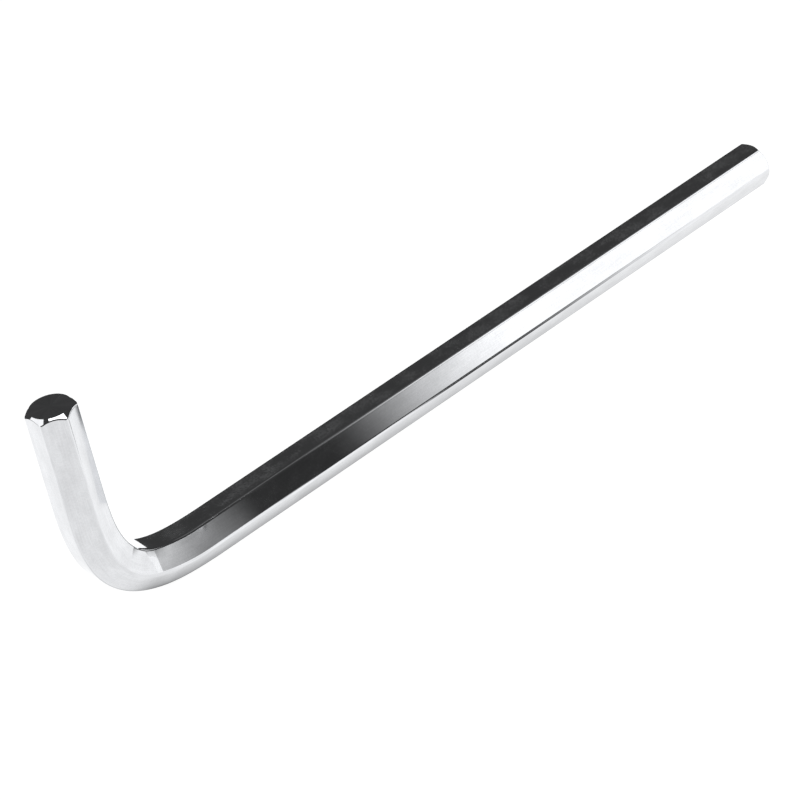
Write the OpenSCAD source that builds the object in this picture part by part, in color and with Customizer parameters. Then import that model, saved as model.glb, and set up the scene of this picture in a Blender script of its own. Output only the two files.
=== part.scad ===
// Long-arm hex key: one hexagonal steel bar bent once through a right angle.
// The key stands on the outer flat of its long arm, with the short arm pointing up.
// X runs along the long arm and Z along the short arm. The bend lies in the XZ plane.
// The origin is on the resting flat, at the middle of the overall length.

/* [Bar] */
// Width of the bar across two opposite flats, the nominal size of the key
across_flats = 8; // [4:0.5:14]
// Radius that eases the six long corners of the bar
corner_radius = 0.75; // [0.1:0.05:1.2]

/* [Arms] */
// Overall length, from the outer flat of the short arm to the long tip
long_arm = 168; // [90:1:260]
// Overall height, from the resting flat of the long arm to the short tip
short_arm = 44; // [36:0.5:70]

/* [Bend] */
// Radius of the tight middle of the bend, along its inner flat
middle_radius = 8.25; // [6:0.25:16]
// Radius of the gentler arc between the short arm and the middle, along its inner flat
short_lead_radius = 24.5; // [8:0.25:40]
// Radius of the gentler arc between the middle and the long arm, along its inner flat
long_lead_radius = 32; // [8:0.25:60]
// Sine of the angle of each gentler arc. At 0.28 and at 0.6 the arcs meet at round measures
lead_sine = 0.28; // [0.1:0.01:0.6]

/* [Tips] */
// How far the edge of the long tip's end face lies inside the flats
long_tip_inset = 0.35; // [0.1:0.05:0.8]
// Slope of the long tip's turned chamfer, measured from its end face
long_tip_angle = 45; // [30:1:60]
// How far the edge of the short tip's end face lies inside the flats
short_tip_inset = 0.35; // [0.1:0.05:0.8]
// Slope of the short tip's turned chamfer, measured from its end face
short_tip_angle = 45; // [30:1:60]

/* [Hidden] */

// Facets of a full circle of the round surfaces where they are drawn as a mesh
round_facets = 96;
// Facets of a full circle of the long corners' rounding
corner_facets = 48;
// The bar has six sides, and each side is turned this far from the last
sides = 6;
side_angle = 360 / sides;

// Distances from the axis of the bar to a flat and to a corner, were it left sharp
flat_distance = across_flats / 2;
corner_distance = flat_distance / cos(side_angle / 2);
// Distance from the axis of the bar to the centre of a corner's rounding
rounding_distance = corner_distance - corner_radius / cos(side_angle / 2);
// Width of each flat between the eased corners
flat_width = 2 * rounding_distance * sin(side_angle / 2);
// Radii of the three arcs of the bend, along the axis of the bar
short_lead = short_lead_radius + flat_distance;
middle = middle_radius + flat_distance;
long_lead = long_lead_radius + flat_distance;
// Cosine of the angle of each gentler arc
lead_cosine = sqrt(1 - lead_sine ^ 2);
// Directions from the centre of an arc to its ends, seen from the front: at the short arm, where the
// middle starts, where it ends, and at the long arm
short_end = [-1, 0];
middle_start = [-lead_cosine, -lead_sine];
middle_end = [-lead_sine, -lead_cosine];
long_end = [0, -1];
// Centres of the three arcs, from the point where the short arm starts to bend
short_centre = [short_lead, 0];
middle_centre = short_centre + (short_lead - middle) * middle_start;
long_centre = middle_centre - (long_lead - middle) * middle_end;
// How far the bend takes the axis of the bar to the right, and how far down
bend_length = long_centre.x;
bend_height = long_lead - long_centre.y;
// Length of the wedge that cuts an arc out of a quarter turn
wedge_length = 100;
// Lengths of the straight stretches between the bend and the end faces
long_straight = long_arm - flat_distance - bend_length;
short_straight = short_arm - flat_distance - bend_height;
// Where the axis of the short arm stands
short_axis_x = flat_distance - long_arm / 2;
steel = [0.80, 0.81, 0.83];

// Outline of the bar: a hexagon with eased corners and two of its flats facing +X and -X
module bar_section() {
    for (i = [0 : sides / 2 - 1])
        rotate(side_angle * i)
            square([across_flats, flat_width], center = true);
    for (i = [0 : sides - 1])
        rotate(side_angle * (i + 0.5))
            translate([rounding_distance, 0])
                circle(r = corner_radius, $fn = corner_facets);
}

// Turned form that a straight stretch is cut to: round, with a cone down to its end face at +Z
module tip_turning(length, inset, angle) {
    face_radius = flat_distance - inset;
    chamfer_depth = (corner_distance - face_radius) * tan(angle);
    rotate_extrude($fn = round_facets)
        polygon([
            [0, 0],
            [corner_distance, 0],
            [corner_distance, length - chamfer_depth],
            [face_radius, length],
            [0, length]
        ]);
}

// Straight stretch of the bar along +Z, chamfered at its tip
module straight(length, inset, angle) {
    intersection() {
        linear_extrude(height = length)
            bar_section();
        tip_turning(length, inset, angle);
    }
}

// One arc of the bend between two directions from its centre. It is swept one facet too far at both
// ends and cut by a wedge, so that neighbouring arcs meet in exactly the same plane
module arc(centre, radius, from, to) {
    arc_angle = acos(from * to);
    facets = ceil(arc_angle * round_facets / 360);
    facet_angle = arc_angle / facets;
    translate([centre.x, 0, centre.y])
        rotate([90, 0, 0])
            intersection() {
                rotate_extrude(
                    start = atan2(from.y, from.x) - facet_angle,
                    angle = arc_angle + 2 * facet_angle,
                    $fn = floor(360 / facet_angle)
                )
                    translate([radius, 0])
                        bar_section();
                linear_extrude(height = 2 * across_flats, center = true)
                    polygon([[0, 0], wedge_length * from, wedge_length * to]);
            }
}

// Bend of the bar: gentle next to each arm and tight in its middle
module bend() {
    arc(short_centre, short_lead, short_end, middle_start);
    arc(middle_centre, middle, middle_start, middle_end);
    arc(long_centre, long_lead, middle_end, long_end);
}

// The whole key, one solid
module hex_key() {
    color(steel)
        translate([short_axis_x, 0, flat_distance]) {
            translate([0, 0, bend_height]) {
                straight(short_straight, short_tip_inset, short_tip_angle);
                bend();
            }
            translate([bend_length, 0, 0])
                rotate([0, 90, 0])
                    straight(long_straight, long_tip_inset, long_tip_angle);
        }
}

hex_key();
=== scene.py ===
"""Looks for the long-arm hex key: a bright plated bar on a pale floor in a plain soft studio."""

import math

import bpy
import numpy as np
from mathutils import Matrix, Vector


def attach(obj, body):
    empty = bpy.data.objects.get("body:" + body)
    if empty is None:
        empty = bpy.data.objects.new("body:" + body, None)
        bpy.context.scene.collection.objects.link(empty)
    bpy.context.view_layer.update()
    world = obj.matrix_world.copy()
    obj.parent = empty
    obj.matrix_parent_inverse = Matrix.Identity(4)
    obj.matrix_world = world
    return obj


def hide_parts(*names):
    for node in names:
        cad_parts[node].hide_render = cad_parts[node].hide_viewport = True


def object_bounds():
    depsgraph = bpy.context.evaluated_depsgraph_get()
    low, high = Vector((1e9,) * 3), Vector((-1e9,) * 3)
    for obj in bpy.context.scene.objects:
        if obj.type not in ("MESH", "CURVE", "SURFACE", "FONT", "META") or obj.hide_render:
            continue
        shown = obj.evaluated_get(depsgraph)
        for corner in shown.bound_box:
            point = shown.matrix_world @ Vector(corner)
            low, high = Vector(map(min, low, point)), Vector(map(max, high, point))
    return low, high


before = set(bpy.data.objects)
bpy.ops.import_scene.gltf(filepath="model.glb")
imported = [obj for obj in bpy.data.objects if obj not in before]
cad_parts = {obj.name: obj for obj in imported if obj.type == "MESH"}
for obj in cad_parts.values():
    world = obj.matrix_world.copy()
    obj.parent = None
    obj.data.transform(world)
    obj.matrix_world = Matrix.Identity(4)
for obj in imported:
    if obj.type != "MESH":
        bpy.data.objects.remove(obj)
CAD_LOW, CAD_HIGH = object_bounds()

NODE = "hex_key"
BODY = "root"

# Lengths are in metres and angles in degrees, unless a comment says otherwise

# Bar and tips
SIDES = 6
ACROSS_FLATS = 0.008
CORNER_RADIUS = 0.00075
TIP_INSET = 0.00035
TIP_SLOPE = 45
SHORT_RIM_ROUNDING = 0.00045
LONG_RIM_ROUNDING = 0.00012
FACE_ROUNDING = 0.00006

# Bend, as three arcs along the inner flat that ease into each other and into the arms
SHORT_LEAD_RADIUS = 0.0245
MIDDLE_RADIUS = 0.00825
LONG_LEAD_RADIUS = 0.032
LEAD_SINE = 0.28
BEND_EASE = 0.004

# What bending does to the section: its inner side swells sideways, its corners sag outwards, and
# the layer that keeps its width lies a little towards the inside of the bend
SWELL = 0.46
SAG = 0.22
NEUTRAL_SHIFT = 0.00012
FLOW_EASE = 0.006

# Textures of the plating, each as its size across the bar, its size along it, its detail and its
# seed. The seed times each shift moves the texture, and only a middle span of its values counts
STREAKS = (0.00012, 0.006, 3.0, 4.1)
CLOUDS = (0.0016, 0.0045, 4.0, 9.3)
GRAIN = (0.00025, 0.00035, 2.0, 1.7)
SEED_SHIFT = (1.0, 2.3, 0.7)
NOISE_SPAN = (0.3, 0.7)

# Plating: its colour, how far each texture darkens it, and its roughness
PLATING = (0.80, 0.81, 0.83)
STREAK_TONE = 0.05
CLOUD_TONE = 0.10
GRAIN_TONE = 0.05
STREAK_HEIGHT = 1e-7
ROUGH_LOW = 0.02
ROUGH_HIGH = 0.06

# Haze that dulls the plating in patches, more so on the inner flat, which faces up on the long arm
HAZE = 0.010
INNER_HAZE = 0.090
HAZE_SPAN = (0.23, 0.36)

# Pits in the inner flat. Their size is a share of their spacing and their core a share of their
# size, both are divided by the stretch along the bar, and this share of the cells holds a pit
PIT_SPACING = 0.0022
PIT_STRETCH = 0.6
PIT_SIZE = 0.09
PIT_CORE = 0.5
PIT_SHARE = 0.16
PIT_TONE = 0.35
PIT_ROUGH = 0.35
PIT_HAZE = 0.12

# Sawn end faces, and how near to an end of the layout they start
FACE_ROUGH = 0.16
FACE_EDGE = 0.00002

# How finely the mesh is divided. Each side of the section counts from one whole number to the
# next, and this share of the count runs over its flat, the rest round its corner
FLAT_SHARE = 0.5
FLAT_STEPS = 10
CORNER_STEPS = 8
STRAIGHT_STEP = 0.0010
BEND_STEP = 0.0005
TIP_REACH = 0.0022
TIP_WALL_STEPS = 6
RIM_STEPS = 8
CONE_STEPS = 5
FACE_RIM_STEPS = 4
FACE_RINGS = 8
AXIS_STEP = 1e-5
LAYOUT = "bar"

# Camera, by the photograph: where it stands, what its axis meets, its tilt, and its lens and sensor
# in millimetres
CAMERA_PLACE = (-0.2836, -0.3818, 0.3088)
CAMERA_TARGET = (-0.01126, 0.00047, 0.0040)
CAMERA_ROLL = -12.81
CAMERA_LENS = 139.63
SENSOR = 36
CLIP_START = 0.01
CLIP_END = 50

# Floor and backdrop that the camera sees
FLOOR_HALF = 6.0
FLOOR_GLOW = 0.93
FLOOR_ALBEDO = 0.30
BACKDROP_GLOW = 1.02
FLOOR_GAP = 0.00001

# Floor as the bar reflects it: how bright it is in front of the key and behind it, and where it
# ends behind the key and at the front left
SHEEN_FRONT = 0.98
SHEEN_BACK = 1.16
SHEEN_REACH = 0.03
SHEEN_END = (0.11, 0.15)
SHEEN_CORNER = (-0.13, -0.20)

# Shade of the long arm on the reflected floor, by the distance from its foot. It fades along the
# arm and ends before the bend and after the long tip. Its core is darker all along
CONTACT_SHADE = 0.30
CONTACT_REACH = (0.0016, 0.0044)
CONTACT_ALONG = (-0.085, 0.115)
CONTACT_BEFORE = (-0.022, -0.010)
CONTACT_AFTER = 0.006
CORE_SHADE = 0.80
CORE_REACH = (0.0021, 0.0026)

# Reflected floor to the right of the short arm, a little brighter away from the foot
RIGHT_LIFT = 1.14
RIGHT_LIFT_ALONG = (-0.074, -0.050)
RIGHT_LIFT_REACH = (0.0042, 0.0060)

# Dark band on the reflected floor in front of the long arm
FRONT_SHADE = 0.06
FRONT_SHADE_START = (-0.0058, -0.0074)
FRONT_SHADE_END = (-0.020, -0.026)
FRONT_SHADE_PLACE = (-0.012, 0.068)
FRONT_SHADE_FADES = (0.014, 0.050)

# Room all round, as the bar reflects it
ROOM_GREY = 0.050

# Upright sheets far in front of the key, each placed as (left, right, low, high)
FAR_PLANE = -1.0035
SHEET_GAP = 0.001
LOW_CARD = (0.30, 2.5, 0.0, 0.60)
LOW_CARD_ACROSS = (0.34, 0.80)
LOW_CARD_GLOW = (0.26, 0.71)
LOW_CARD_TOP = (0.42, 0.46)
LOW_CARD_DARK = 0.036
SKIRTING = (0.30, 2.5, 0.0, 0.085)
SKIRTING_GLOW = 1.25
SOFTBOX = (0.495, 2.5, 0.376, 0.440)
SOFTBOX_GLOW = 1.42
SOFTBOX_FADE = (0.497, 0.530)

# Upright flags and lights close in front of the key, placed in the same way. Each fades over these
# lengths at its left and right ends
NEAR_PLANE = -0.0245
FLAG_GLOW = 0.036
LOW_FLAG = (-0.040, 0.075, 0.0003, 0.0095)
LOW_FLAG_FADES = (0.018, 0.050)
HIGH_FLAG = (-0.0515, 0.0297, 0.0095, 0.0180)
HIGH_FLAG_FADES = (0.0150, 0.0490)
LOW_LIGHT = (0.050, 0.20, 0.0003, 0.0120)
LOW_LIGHT_FADES = (0.030, 0.010)
LOW_LIGHT_GLOW = 1.2
HIGH_LIGHT = (-0.020, 0.20, 0.0188, 0.0560)
HIGH_LIGHT_FADES = (0.049, 0.010)
HIGH_LIGHT_GLOW = 1.25

# Panels round the key and facing it, each placed as (azimuth, elevation, distance)
OVERHEAD = (-10, 60, 1.5)
OVERHEAD_SIZE = (1.55, 0.62)
OVERHEAD_GLOW = 2.4
CEILING = (75, 60, 1.5)
CEILING_SIZE = (0.6, 0.4)
CEILING_GLOW = 0.14
SIDE_WALL = (-118, 26, 1.5)
SIDE_WALL_SIZE = (1.5, 1.5)
SIDE_WALL_GLOW = 1.3

# Sizes worked out from the bar and from the frame
LONG_ARM = CAD_HIGH.x - CAD_LOW.x
SHORT_ARM = CAD_HIGH.z - CAD_LOW.z
SIDE_ANGLE = math.tau / SIDES
SIDE_LAYOUT = ACROSS_FLATS / math.sqrt(3)
FLAT_DISTANCE = ACROSS_FLATS / 2
CORNER_DISTANCE = FLAT_DISTANCE / math.cos(SIDE_ANGLE / 2)
ROUNDING_DISTANCE = CORNER_DISTANCE - CORNER_RADIUS / math.cos(SIDE_ANGLE / 2)
FLAT_WIDTH = 2 * ROUNDING_DISTANCE * math.sin(SIDE_ANGLE / 2)
CONE_ANGLE = math.radians(TIP_SLOPE)
RIM_TURN = math.pi / 2 - CONE_ANGLE
LEAD_ANGLE = math.asin(LEAD_SINE)
BEND_ANGLE = math.pi / 2
ARCS = (
    (SHORT_LEAD_RADIUS + FLAT_DISTANCE, LEAD_ANGLE),
    (MIDDLE_RADIUS + FLAT_DISTANCE, BEND_ANGLE - 2 * LEAD_ANGLE),
    (LONG_LEAD_RADIUS + FLAT_DISTANCE, LEAD_ANGLE),
)
BEND_LENGTH = sum(radius * angle for radius, angle in ARCS)
CORNER_SIGNS = ((-1, -1), (1, -1), (1, 1), (-1, 1))
FLOOR_CORNERS = [(x * FLOOR_HALF, y * FLOOR_HALF) for x, y in CORNER_SIGNS]


# Bend

def smooth_ramp(value):
    """Rises from 0 with a slope that eases from 0 to 1 as the value does."""
    inside = np.clip(value, 0, 1)
    return inside**3 - inside**4 / 2 + np.maximum(value - 1, 0)


def smooth_step(value):
    """Eases from 0 to 1 as the value does. It is the slope of the ramp."""
    value = np.clip(value, 0, 1)
    return value * value * (3 - 2 * value)


def smooth_slope(value):
    """Slope of the eased step."""
    value = np.clip(value, 0, 1)
    return 6 * value * (1 - value)


def bend_steps():
    """Where the curvature of the bar's axis steps, from the start of the bend, and by how much."""
    place, before, steps = 0.0, 0.0, []
    for radius, angle in ARCS:
        steps.append((place, 1 / radius - before))
        place, before = place + radius * angle, 1 / radius
    return steps + [(place, -before)]


def bend_sum(place, ease, shape, power):
    """Adds up the steps of the curvature, each eased over a length, as one of the smooth shapes.

    The ramp with power 1 gives the turn, the step with 0 the curvature and the slope with -1 its
    change along the bar.
    """
    total = 0.0
    for step, change in bend_steps():
        total = total + change * ease**power * shape((place - step) / ease + 0.5)
    return total


def axis_table():
    """Places along the bend, with the axis's travel along X and down Z at each."""
    places = np.arange(-BEND_EASE / 2, BEND_LENGTH + BEND_EASE / 2 + AXIS_STEP, AXIS_STEP)
    turn = bend_sum(places, BEND_EASE, smooth_ramp, 1)
    travel = []
    for rate in (np.sin(turn), np.cos(turn)):
        middles = (rate[1:] + rate[:-1]) / 2
        travel.append(np.concatenate([[0], np.cumsum(middles * AXIS_STEP)]))
    return places, travel[0], travel[1]


TABLE_PLACES, TABLE_X, TABLE_DOWN = axis_table()
SHORT_STRAIGHT = SHORT_ARM - FLAT_DISTANCE - TABLE_DOWN[-1] - TABLE_PLACES[0]
BEND_END = SHORT_STRAIGHT + TABLE_PLACES[-1]
BAR_LENGTH = BEND_END + LONG_ARM - FLAT_DISTANCE - TABLE_X[-1]
CONTACT_FOOT = CAD_LOW.x + FLAT_DISTANCE + TABLE_X[-1]


def axis_frame(along):
    """Place of the bar's axis and its direction towards the inside of the bend, as (x, z) each."""
    place = along - SHORT_STRAIGHT
    turn = bend_sum(place, BEND_EASE, smooth_ramp, 1)
    before = np.minimum(place - TABLE_PLACES[0], 0)
    after = np.maximum(place - TABLE_PLACES[-1], 0)
    x = CAD_LOW.x + FLAT_DISTANCE + np.interp(place, TABLE_PLACES, TABLE_X) + after
    down = np.interp(place, TABLE_PLACES, TABLE_DOWN) + before
    z = CAD_LOW.z + FLAT_DISTANCE + TABLE_DOWN[-1] - down
    return x, z, np.cos(turn), np.sin(turn)


# Wall of the bar

def section(around):
    """Points of the outline, as (towards the inside of the bend, sideways), from the inner flat on."""
    side = np.floor(around)
    share = around - side
    normal = side * SIDE_ANGLE
    along_flat = (np.clip(share / FLAT_SHARE, 0, 1) - 0.5) * FLAT_WIDTH
    turn = normal + np.clip((share - FLAT_SHARE) / (1 - FLAT_SHARE), 0, 1) * SIDE_ANGLE
    centre = normal + SIDE_ANGLE / 2
    flat_in = FLAT_DISTANCE * np.cos(normal) - along_flat * np.sin(normal)
    flat_side = FLAT_DISTANCE * np.sin(normal) + along_flat * np.cos(normal)
    corner_in = ROUNDING_DISTANCE * np.cos(centre) + CORNER_RADIUS * np.cos(turn)
    corner_side = ROUNDING_DISTANCE * np.sin(centre) + CORNER_RADIUS * np.sin(turn)
    on_flat = share < FLAT_SHARE
    return np.where(on_flat, flat_in, corner_in), np.where(on_flat, flat_side, corner_side)


def facing(around):
    """Direction that the section faces, as an angle from the inside of the bend."""
    side = np.floor(around)
    return (side + np.clip((around - side - FLAT_SHARE) / (1 - FLAT_SHARE), 0, 1)) * SIDE_ANGLE


def flowed(along, around):
    """The section before and after bending, each (inward, sideways), and the bar's curvature."""
    inward, sideways = section(around)
    bending = bend_sum(along - SHORT_STRAIGHT, FLOW_EASE, smooth_step, 0)
    moved_in = inward + SAG * bending * (inward**2 - sideways**2) / 2
    moved_side = sideways * (1 + SWELL * bending * (inward - NEUTRAL_SHIFT))
    return inward, sideways, moved_in, moved_side, bending


def wall_point(along, around):
    """Points of the bar's wall. Along runs from the short tip to the long one."""
    _, _, moved_in, moved_side, _ = flowed(along, around)
    x, z, inward_x, inward_z = axis_frame(along)
    points = [x + inward_x * moved_in, moved_side + 0 * x, z + inward_z * moved_in]
    return np.stack(points, axis=-1)


def wall_normal(along, around):
    """Outward directions of the wall, worked out exactly so that its reflections run smoothly."""
    inward, sideways, moved_in, _, bending = flowed(along, around)
    place = along - SHORT_STRAIGHT
    change = bend_sum(place, FLOW_EASE, smooth_slope, -1)
    curvature = bend_sum(place, BEND_EASE, smooth_step, 0)
    along_in = SAG * change * (inward**2 - sideways**2) / 2
    along_side = SWELL * change * sideways * (inward - NEUTRAL_SHIFT)
    along_ahead = 1 - curvature * moved_in
    across, up = -np.sin(facing(around)), np.cos(facing(around))
    around_in = across * (1 + SAG * bending * inward) - SAG * bending * sideways * up
    swelling = 1 + SWELL * bending * (inward - NEUTRAL_SHIFT)
    around_side = up * swelling + SWELL * bending * sideways * across
    normal_in = along_ahead * around_side
    normal_side = -along_ahead * around_in
    normal_ahead = along_side * around_in - along_in * around_side
    _, _, inward_x, inward_z = axis_frame(along)
    normal_x = normal_in * inward_x + normal_ahead * inward_z
    normal_z = normal_in * inward_z - normal_ahead * inward_x
    return unit(np.stack([normal_x, normal_side, normal_z], axis=-1))


def unit(directions):
    """The same directions, each with a length of 1."""
    return directions / np.linalg.norm(directions, axis=-1, keepdims=True)


# Tips. A profile entry is (radius, distance from the end face, lean towards the end face)

def tip_wall(reach, start):
    """Entries along the straight wall, up to the start of the rounded rim."""
    shares = [i / TIP_WALL_STEPS for i in range(TIP_WALL_STEPS)]
    return [(reach, TIP_REACH * (1 - share) + start * share, 0 * reach) for share in shares]


def tip_rim(reach, start, rounding):
    """Entries round the outer rim of the chamfer."""
    entries = []
    for i in range(RIM_STEPS + 1):
        turn = RIM_TURN * i / RIM_STEPS
        radius = reach - rounding * (1 - math.cos(turn))
        entries.append((radius, start - rounding * math.sin(turn), np.full_like(reach, turn)))
    return entries


def tip_cone(top, bottom):
    """Entries down the chamfer, between two pairs of (radius, distance from the end face)."""
    entries = []
    for i in range(1, CONE_STEPS + 1):
        share = i / CONE_STEPS
        radius, depth = (a * (1 - share) + b * share for a, b in zip(top, bottom))
        entries.append((radius, depth, np.full_like(radius, RIM_TURN)))
    return entries


def tip_face(reach, rim_radius):
    """Entries round the rim of the end face and over the face, to near its middle."""
    flat = np.ones_like(reach)
    entries = []
    for i in range(1, FACE_RIM_STEPS + 1):
        turn = CONE_ANGLE * (1 - i / FACE_RIM_STEPS)
        radius = rim_radius + FACE_ROUNDING * math.sin(turn)
        depth = FACE_ROUNDING * (1 - math.cos(turn))
        entries.append((radius * flat, depth * flat, (math.pi / 2 - turn) * flat))
    for i in range(1, FACE_RINGS):
        entries.append((rim_radius * (1 - i / FACE_RINGS) * flat, 0 * flat, math.pi / 2 * flat))
    return entries


def tip_profile(reach, rounding):
    """Turned profile of a tip, for walls at the given distances from the axis."""
    face = FLAT_DISTANCE - TIP_INSET
    rim_radius = face - FACE_ROUNDING * math.tan(CONE_ANGLE / 2)
    start = (reach - face) * math.tan(CONE_ANGLE) + rounding * math.tan(RIM_TURN / 2)
    rim = tip_rim(reach, start, rounding)
    cone_radius = rim_radius + FACE_ROUNDING * math.sin(CONE_ANGLE)
    cone_depth = FACE_ROUNDING * (1 - math.cos(CONE_ANGLE))
    cone = tip_cone(rim[-1][:2], (cone_radius, cone_depth))
    return tip_wall(reach, start) + rim + cone + tip_face(reach, rim_radius)


def tip_rings(around, at_long_tip):
    """Rings of one tip, from its wall to near the middle of its end face.

    Each ring is (points, outward directions, places along the bar, places around it).
    """
    end = BAR_LENGTH if at_long_tip else 0.0
    inwards = -1 if at_long_tip else 1
    ahead = np.array((1, 0, 0) if at_long_tip else (0, 0, 1))
    rounding = LONG_RIM_ROUNDING if at_long_tip else SHORT_RIM_ROUNDING
    inward, sideways = section(around)
    reach = np.hypot(inward, sideways)
    _, _, inward_x, inward_z = axis_frame(np.array(end))
    out = np.stack([inward_x * inward, sideways, inward_z * inward], axis=-1) / reach[:, None]
    wall = wall_normal(np.full_like(around, end + inwards * TIP_REACH), around)
    rings = []
    for radius, depth, lean in tip_profile(reach, rounding):
        along = end + inwards * depth
        x, z, _, _ = axis_frame(along)
        points = np.stack([x, 0 * x, z], axis=-1) + out * radius[:, None]
        share = np.clip(lean / RIM_TURN, 0, 1)[:, None]
        side = unit(wall * (1 - share) + out * share)
        normals = side * np.cos(lean)[:, None] + ahead * np.sin(lean)[:, None]
        rings.append((points, unit(normals), along, around))
    return rings


# Mesh of the bar

def stations():
    """Places of the wall's rings along the bar, closer together in and near the bend."""
    bend_start = SHORT_STRAIGHT - FLOW_EASE
    bend_stop = SHORT_STRAIGHT + BEND_LENGTH + FLOW_EASE
    stops = [TIP_REACH, bend_start, bend_stop, BAR_LENGTH - TIP_REACH]
    places = []
    for start, stop, step in zip(stops, stops[1:], (STRAIGHT_STEP, BEND_STEP, STRAIGHT_STEP)):
        count = max(1, round((stop - start) / step))
        places.extend(start + (stop - start) * i / count for i in range(count))
    return places + [stops[-1]]


def columns():
    """Places of the mesh's columns around the bar."""
    corner_share = 1 - FLAT_SHARE
    places = []
    for side in range(SIDES):
        corner = side + FLAT_SHARE
        places.extend(side + FLAT_SHARE * i / FLAT_STEPS for i in range(FLAT_STEPS))
        places.extend(corner + corner_share * i / CORNER_STEPS for i in range(CORNER_STEPS))
    return np.array(places)


def bar_rings():
    """Every ring of the bar, from the middle of the short tip's face to that of the long tip's."""
    around = columns()
    short = tip_rings(around, False)[::-1]
    long = tip_rings(around, True)
    walls = []
    for place in stations()[1:-1]:
        along = np.full_like(around, place)
        walls.append((wall_point(along, around), wall_normal(along, around), along, around))
    return short + walls + long


def face_middle(ring):
    """The middle of an end face, in the form of a ring with a single point."""
    points, normals, along, around = ring
    return np.mean(points, axis=0)[None], normals[:1], along[:1], 0 * around[:1]


def bar_faces(ring_count, count):
    """Faces between neighbouring rings, and a fan to the middle of each end face."""
    faces = []
    pairs = [(column, (column + 1) % count) for column in range(count)]
    last = (ring_count - 1) * count
    for low in range(0, last, count):
        high = low + count
        faces.extend((low + a, high + a, high + b, low + b) for a, b in pairs)
    short_middle = ring_count * count
    long_middle = short_middle + 1
    faces.extend((short_middle, a, b) for a, b in pairs)
    faces.extend((long_middle, last + b, last + a) for a, b in pairs)
    return faces


def bar_mesh():
    """The whole bar as one closed mesh, with exact directions for its mirror finish."""
    rings = bar_rings()
    faces = bar_faces(len(rings), len(rings[0][0]))
    rings = rings + [face_middle(rings[0]), face_middle(rings[-1])]
    points, normals, along, around = (np.concatenate(part) for part in zip(*rings))
    mesh = bpy.data.meshes.new(NODE + "_finish")
    mesh.from_pydata([tuple(p) for p in points], [], faces)
    mesh.validate()
    mesh.update()
    mesh.polygons.foreach_set("use_smooth", [True] * len(mesh.polygons))
    mesh.normals_split_custom_set_from_vertices([tuple(n) for n in normals])
    add_layout(mesh, along, around)
    return mesh


def add_layout(mesh, along, around):
    """Lays the surface out for its textures: around the bar from its inner flat on, and along it."""
    layer = mesh.uv_layers.new(name=LAYOUT)
    index = np.zeros(len(mesh.loops), dtype=np.int32)
    mesh.loops.foreach_get("vertex_index", index)
    turned = around[index] * SIDE_LAYOUT
    lap = SIDES * SIDE_LAYOUT
    for face in mesh.polygons:
        part = turned[face.loop_start:face.loop_start + face.loop_total]
        if part.max() - part.min() > lap / 2:
            part[part < lap / 2] += lap
    layout = np.stack([turned, along[index]], axis=-1)
    layer.data.foreach_set("uv", layout.ravel().astype(np.float32))


# Materials

class Tree:
    """The nodes of one new material. A value is a number or the output of another node."""

    def __init__(self, name):
        self.material = bpy.data.materials.new(name)
        self.material.use_nodes = True
        self.nodes = self.material.node_tree.nodes
        self.nodes.clear()
        self.surface = self.add("OutputMaterial").inputs["Surface"]

    def add(self, kind):
        """One new node."""
        return self.nodes.new("ShaderNode" + kind)

    def feed(self, socket, value):
        """Gives an input its value."""
        if isinstance(value, (int, float)):
            socket.default_value = value
        else:
            self.material.node_tree.links.new(value, socket)

    def calc(self, operation, first, second):
        """One step of arithmetic."""
        node = self.add("Math")
        node.operation = operation
        self.feed(node.inputs[0], first)
        self.feed(node.inputs[1], second)
        return node.outputs[0]

    def product(self, first, *others):
        """All the values multiplied."""
        for other in others:
            first = self.calc("MULTIPLY", first, other)
        return first

    def ease(self, value, span, low, high):
        """Takes a value from one range to another with soft ends."""
        node = self.add("MapRange")
        node.interpolation_type = "SMOOTHSTEP"
        names = ("Value", "From Min", "From Max", "To Min", "To Max")
        for name, number in zip(names, (value, *span, low, high)):
            self.feed(node.inputs[name], number)
        return node.outputs["Result"]

    def place(self):
        """The place on the object, whose outputs are named X, Y and Z."""
        where = self.add("TexCoord")
        split = self.add("SeparateXYZ")
        self.feed(split.inputs[0], where.outputs["Object"])
        return split.outputs

    def glow(self, strength):
        """A shader that only glows."""
        node = self.add("Emission")
        self.feed(node.inputs["Strength"], strength)
        return node.outputs[0]


def layout_noise(tree, layout, across, lengthwise, detail, seed):
    """Noise over the bar's own layout."""
    stretch = tree.add("Mapping")
    stretch.inputs["Scale"].default_value = (1 / across, 1 / lengthwise, 1)
    stretch.inputs["Location"].default_value = [seed * share for share in SEED_SHIFT]
    noise = tree.add("TexNoise")
    noise.inputs["Scale"].default_value = 1.0
    noise.inputs["Detail"].default_value = detail
    tree.feed(stretch.inputs["Vector"], layout)
    tree.feed(noise.inputs["Vector"], stretch.outputs["Vector"])
    return noise.outputs["Fac"]


def pits(tree, layout, inner_flat):
    """Small pits scattered over the inner flat: 1 in a pit and 0 elsewhere."""
    stretch = tree.add("Mapping")
    stretch.inputs["Scale"].default_value = (1 / PIT_SPACING, PIT_STRETCH / PIT_SPACING, 1)
    cells = tree.add("TexVoronoi")
    cells.inputs["Scale"].default_value = 1.0
    tree.feed(stretch.inputs["Vector"], layout)
    tree.feed(cells.inputs["Vector"], stretch.outputs["Vector"])
    inside = tree.ease(cells.outputs["Distance"], (PIT_SIZE, PIT_SIZE * PIT_CORE), 0.0, 1.0)
    split = tree.add("SeparateColor")
    tree.feed(split.inputs[0], cells.outputs["Color"])
    chosen = tree.calc("GREATER_THAN", split.outputs[0], 1 - PIT_SHARE)
    return tree.product(inside, chosen, inner_flat)


def end_faces(tree, along):
    """1 on the two end faces and 0 elsewhere."""
    short = tree.calc("LESS_THAN", along, FACE_EDGE)
    long = tree.calc("GREATER_THAN", along, BAR_LENGTH - FACE_EDGE)
    return tree.calc("MAXIMUM", short, long)


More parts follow.
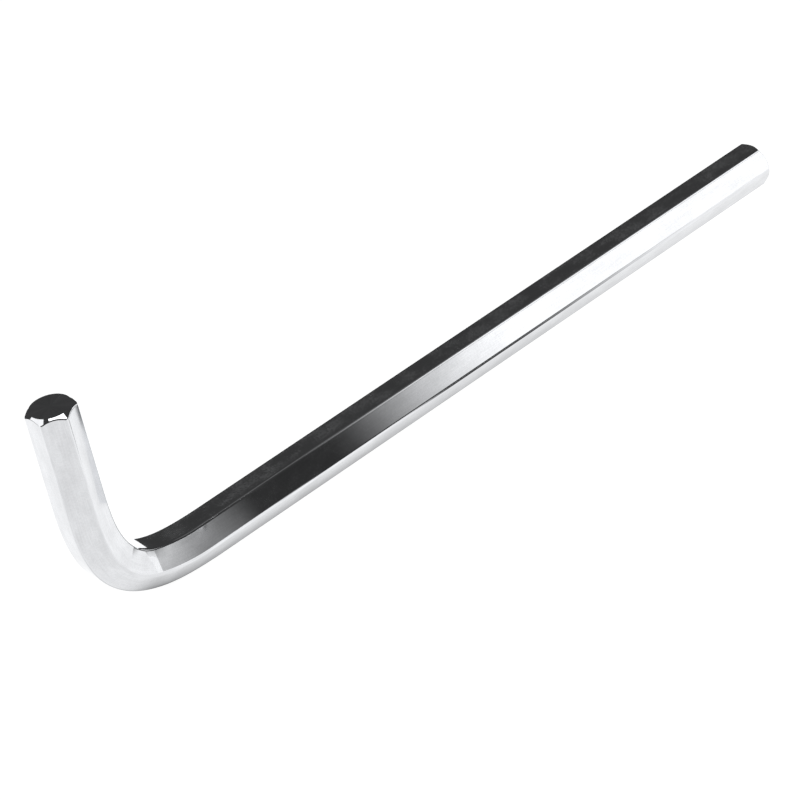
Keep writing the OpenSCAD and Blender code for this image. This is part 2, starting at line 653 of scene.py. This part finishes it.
def plating_colour(tree, textures, pit):
    """Colour of the plating, darkened by its textures and in its pits."""
    tones = [tree.calc("SUBTRACT", 1.0, tree.product(pit, PIT_TONE))]
    for texture, depth in zip(textures, (STREAK_TONE, CLOUD_TONE, GRAIN_TONE)):
        tones.append(tree.ease(texture, NOISE_SPAN, 1 - depth, 1.0))
    colour = tree.add("Mix")
    colour.data_type = "RGBA"
    colour.blend_type = "MULTIPLY"
    colour.inputs["Factor"].default_value = 1.0
    colour.inputs["A"].default_value = (*PLATING, 1)
    tree.feed(colour.inputs["B"], tree.product(*tones))
    return colour.outputs["Result"]


def plating_haze(tree, clouds, grain, inner_flat, pit):
    """How much of the mirror finish is lost, in patches and in pits."""
    most = tree.calc("ADD", tree.product(inner_flat, INNER_HAZE - HAZE), HAZE)
    patches = tree.ease(tree.product(grain, clouds), HAZE_SPAN, 0.0, 1.0)
    return tree.calc("ADD", tree.product(most, patches), tree.product(pit, PIT_HAZE))


def plating_roughness(tree, clouds, pit, end_face):
    """Roughness of the plating, which is highest in pits and on the sawn end faces."""
    rough = tree.ease(clouds, NOISE_SPAN, ROUGH_LOW, ROUGH_HIGH)
    rough = tree.calc("MAXIMUM", rough, tree.product(pit, PIT_ROUGH))
    return tree.calc("MAXIMUM", rough, tree.product(end_face, FACE_ROUGH))


def streak_bump(tree, streaks):
    """Directions of the surface with the height of its streaks."""
    bump = tree.add("Bump")
    bump.inputs["Strength"].default_value = 1.0
    bump.inputs["Distance"].default_value = STREAK_HEIGHT
    tree.feed(bump.inputs["Height"], streaks)
    return bump.outputs["Normal"]


def plated_steel():
    """Bright plating: streaks along the bar, cloudy patches, a few pits and duller end faces."""
    tree = Tree("bright_plating")
    layout_node = tree.add("UVMap")
    layout_node.uv_map = LAYOUT
    layout = layout_node.outputs["UV"]
    place = tree.add("SeparateXYZ")
    tree.feed(place.inputs[0], layout)
    textures = [layout_noise(tree, layout, *values) for values in (STREAKS, CLOUDS, GRAIN)]
    streaks, clouds, grain = textures
    inner_flat = tree.calc("LESS_THAN", place.outputs["X"], FLAT_SHARE * SIDE_LAYOUT)
    pit = pits(tree, layout, inner_flat)
    haze = plating_haze(tree, clouds, grain, inner_flat, pit)
    rough = plating_roughness(tree, clouds, pit, end_faces(tree, place.outputs["Y"]))
    shader = tree.add("BsdfPrincipled")
    tree.feed(shader.inputs["Base Color"], plating_colour(tree, textures, pit))
    tree.feed(shader.inputs["Metallic"], tree.calc("SUBTRACT", 1.0, haze))
    tree.feed(shader.inputs["Roughness"], rough)
    tree.feed(shader.inputs["Normal"], streak_bump(tree, streaks))
    tree.feed(tree.surface, shader.outputs["BSDF"])
    return tree.material


def floor_material():
    """Pale floor that glows as well as catching light, so that its shadows stay faint."""
    tree = Tree("pale_floor")
    diffuse = tree.add("BsdfDiffuse")
    diffuse.inputs["Color"].default_value = (FLOOR_ALBEDO, FLOOR_ALBEDO, FLOOR_ALBEDO, 1)
    both = tree.add("AddShader")
    tree.feed(both.inputs[0], diffuse.outputs[0])
    tree.feed(both.inputs[1], tree.glow(FLOOR_GLOW))
    tree.feed(tree.surface, both.outputs[0])
    return tree.material


def glow_material(name, strength):
    """A material that only glows. Strength is a number or a function of the tree and the place."""
    tree = Tree(name)
    if callable(strength):
        strength = strength(tree, tree.place())
    tree.feed(tree.surface, tree.glow(strength))
    return tree.material


def thinned_material(name, place, fades, strength):
    """A glow that thins out to nothing towards its left and right ends."""
    tree = Tree(name)
    mix = tree.add("MixShader")
    tree.feed(mix.inputs["Fac"], cover(tree, tree.place()["X"], place, fades))
    tree.feed(mix.inputs[1], tree.add("BsdfTransparent").outputs[0])
    tree.feed(mix.inputs[2], tree.glow(strength))
    tree.feed(tree.surface, mix.outputs[0])
    return tree.material


def cover(tree, across, place, fades):
    """1 between a left and a right end, with a fade to 0 at each."""
    left, right = place[:2]
    rise = tree.ease(across, (left, left + fades[0]), 0.0, 1.0)
    fall = tree.ease(across, (right - fades[1], right), 1.0, 0.0)
    return tree.product(rise, fall)


# Light of the reflected floor and of the far sheets, by the place on them

def contact_shade(tree, place, distance):
    """Share of light that the floor keeps near the foot of the long arm."""
    shade = tree.ease(distance, CONTACT_REACH, CONTACT_SHADE, 1.0)
    foot = [CONTACT_FOOT + edge for edge in CONTACT_BEFORE]
    before = tree.ease(place["X"], foot, 1.0, 0.0)
    after = tree.ease(place["X"], (CAD_HIGH.x, CAD_HIGH.x + CONTACT_AFTER), 0.0, 1.0)
    along = tree.ease(place["X"], CONTACT_ALONG, 0.0, 1.0)
    lift = tree.calc("MAXIMUM", tree.calc("MAXIMUM", before, after), along)
    rest = tree.product(tree.calc("SUBTRACT", 1.0, shade), lift)
    core = tree.ease(distance, CORE_REACH, CORE_SHADE, 1.0)
    return tree.product(tree.calc("ADD", shade, rest), core)


def front_shade(tree, place):
    """Share of light that the floor keeps in the dark band in front of the long arm."""
    near = tree.ease(place["Y"], FRONT_SHADE_START, 0.0, 1.0)
    far = tree.ease(place["Y"], FRONT_SHADE_END, 1.0, 0.0)
    across = cover(tree, place["X"], FRONT_SHADE_PLACE, FRONT_SHADE_FADES)
    return tree.calc("SUBTRACT", 1.0, tree.product(near, far, across, 1 - FRONT_SHADE))


def right_lift(tree, place, distance):
    """How many times brighter the floor is to the right of the short arm."""
    along = tree.ease(place["X"], RIGHT_LIFT_ALONG, 0.0, RIGHT_LIFT - 1)
    away = tree.ease(distance, RIGHT_LIFT_REACH, 0.0, 1.0)
    return tree.calc("ADD", tree.product(along, away), 1.0)


def sheen_extent(tree, place):
    """1 on the lit floor and 0 beyond it, behind the key and at the front left."""
    back = tree.ease(place["Y"], SHEEN_END, 1.0, 0.0)
    front = tree.ease(place["Y"], SHEEN_CORNER, 1.0, 0.0)
    right = tree.calc("GREATER_THAN", place["X"], CAD_LOW.x)
    return tree.product(back, tree.calc("MAXIMUM", front, right))


def sheen_strength(tree, place):
    """How bright the bar sees the floor."""
    distance = tree.calc("ABSOLUTE", place["Y"], 0.0)
    lit = tree.product(
        tree.ease(place["Y"], (-SHEEN_REACH, SHEEN_REACH), SHEEN_FRONT, SHEEN_BACK),
        contact_shade(tree, place, distance),
        front_shade(tree, place),
        right_lift(tree, place, distance),
        sheen_extent(tree, place),
    )
    return tree.calc("MAXIMUM", lit, ROOM_GREY)


def low_card_strength(tree, place):
    """The low card grows brighter to the right and ends softly at its top."""
    across = tree.ease(place["X"], LOW_CARD_ACROSS, *LOW_CARD_GLOW)
    inside = tree.ease(place["Z"], LOW_CARD_TOP, 1.0, 0.0)
    return tree.calc("MAXIMUM", tree.product(across, inside), LOW_CARD_DARK)


def softbox_strength(tree, place):
    """The softbox fades in from its left edge."""
    return tree.ease(place["X"], SOFTBOX_FADE, LOW_CARD_DARK, SOFTBOX_GLOW)


# Pieces

def add_object(name, mesh, material):
    """Puts a mesh in the scene with one material."""
    item = bpy.data.objects.new(name, mesh)
    item.data.materials.append(material)
    bpy.context.scene.collection.objects.link(item)
    return item


def hex_key():
    """The finished bar, in the place of its CAD node."""
    bar = add_object("hex_key_bar", bar_mesh(), plated_steel())
    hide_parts(NODE)
    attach(bar, BODY)
    return bar


# Studio

def plane_mesh(name, corners):
    """A four-sided sheet."""
    mesh = bpy.data.meshes.new(name)
    mesh.from_pydata([tuple(corner) for corner in corners], [], [(0, 1, 2, 3)])
    return mesh


def floor_sheet(name, z, material, seen):
    """One level sheet, which either the camera and soft light meet or only reflections do."""
    item = add_object(name, plane_mesh(name, [(x, y, z) for x, y in FLOOR_CORNERS]), material)
    item.visible_camera = seen
    item.visible_glossy = not seen
    item.visible_diffuse = seen
    item.visible_shadow = seen


def floor():
    """The pale floor that the key stands on, as the camera sees it and as the bar reflects it."""
    floor_sheet("floor", CAD_LOW.z, floor_material(), True)
    sheen = glow_material("floor_sheen", sheen_strength)
    floor_sheet("floor_sheen", CAD_LOW.z - FLOOR_GAP, sheen, False)


def backdrop():
    """Pale walls and ceiling far round the key, for cameras that look along the floor."""
    levels = (CAD_LOW.z, CAD_LOW.z + FLOOR_HALF)
    corners = [(x, y, z) for z in levels for x, y in FLOOR_CORNERS]
    faces = [(0, 1, 5, 4), (1, 2, 6, 5), (2, 3, 7, 6), (3, 0, 4, 7), (4, 5, 6, 7)]
    mesh = bpy.data.meshes.new("backdrop")
    mesh.from_pydata(corners, [], faces)
    item = add_object("backdrop", mesh, glow_material("backdrop", BACKDROP_GLOW))
    item.visible_diffuse = False
    item.visible_glossy = False
    item.visible_shadow = False


def towards(azimuth, elevation):
    """Direction from the key. Azimuth runs from the front towards +X, elevation from the floor."""
    turn, rise = math.radians(azimuth), math.radians(elevation)
    level = math.cos(rise)
    return Vector((math.sin(turn) * level, -math.cos(turn) * level, math.sin(rise)))


def upright_panel(name, y, place, material):
    """A sheet across the view that only the bar shows. The camera and the floor don't see it."""
    left, right, low, high = place
    corners = ((left, y, low), (right, y, low), (right, y, high), (left, y, high))
    item = add_object(name, plane_mesh(name, corners), material)
    item.visible_camera = False
    item.visible_diffuse = False
    item.visible_shadow = False


def facing_panel(name, place, size, strength):
    """A lit panel that faces the key and that the camera doesn't see."""
    azimuth, elevation, distance = place
    away = towards(azimuth, elevation)
    right = Vector((0, 0, 1)).cross(away).normalized()
    up = away.cross(right)
    half_right, half_up = right * (size[0] / 2), up * (size[1] / 2)
    centre = away * distance
    corners = [centre + half_right * x + half_up * y for x, y in CORNER_SIGNS]
    item = add_object(name, plane_mesh(name, corners), glow_material(name, strength))
    item.visible_camera = False


def room():
    """Dim even light from all round."""
    world = bpy.data.worlds.new("room")
    world.use_nodes = True
    background = world.node_tree.nodes["Background"]
    background.inputs["Color"].default_value = (ROOM_GREY, ROOM_GREY, ROOM_GREY, 1)
    bpy.context.scene.world = world


def far_sheets():
    """Card, skirting and softbox far in front of the key."""
    for name, gap, place, strength in (
        ("low_card", 0, LOW_CARD, low_card_strength),
        ("skirting", SHEET_GAP, SKIRTING, SKIRTING_GLOW),
        ("softbox", SHEET_GAP, SOFTBOX, softbox_strength),
    ):
        upright_panel(name, FAR_PLANE + gap, place, glow_material(name, strength))


def near_sheets():
    """Black flags and small lights close in front of the key."""
    for name, place, fades, strength in (
        ("low_flag", LOW_FLAG, LOW_FLAG_FADES, FLAG_GLOW),
        ("high_flag", HIGH_FLAG, HIGH_FLAG_FADES, FLAG_GLOW),
        ("low_light", LOW_LIGHT, LOW_LIGHT_FADES, LOW_LIGHT_GLOW),
        ("high_light", HIGH_LIGHT, HIGH_LIGHT_FADES, HIGH_LIGHT_GLOW),
    ):
        upright_panel(name, NEAR_PLANE, place, thinned_material(name, place, fades, strength))


def studio():
    """Floor, room and panels."""
    floor()
    backdrop()
    room()
    far_sheets()
    near_sheets()
    facing_panel("overhead", OVERHEAD, OVERHEAD_SIZE, OVERHEAD_GLOW)
    facing_panel("ceiling", CEILING, CEILING_SIZE, CEILING_GLOW)
    facing_panel("side_wall", SIDE_WALL, SIDE_WALL_SIZE, SIDE_WALL_GLOW)


def camera():
    """The camera, where the photograph was taken from."""
    data = bpy.data.cameras.new("camera")
    data.lens = CAMERA_LENS
    data.sensor_width = SENSOR
    data.sensor_fit = "HORIZONTAL"
    data.clip_start = CLIP_START
    data.clip_end = CLIP_END
    item = bpy.data.objects.new("camera", data)
    bpy.context.scene.collection.objects.link(item)
    back = (Vector(CAMERA_PLACE) - Vector(CAMERA_TARGET)).normalized()
    right = Vector((0, 0, 1)).cross(back).normalized()
    level = Matrix((right, back.cross(right), back)).transposed()
    turned = level @ Matrix.Rotation(math.radians(CAMERA_ROLL), 3, "Z")
    item.matrix_world = Matrix.Translation(CAMERA_PLACE) @ turned.to_4x4()
    bpy.context.scene.camera = item


def colours():
    """Plain display of the light, with no film look."""
    settings = bpy.context.scene.view_settings
    settings.view_transform = "Standard"
    settings.look = "None"


camera()
hex_key()
studio()
colours()
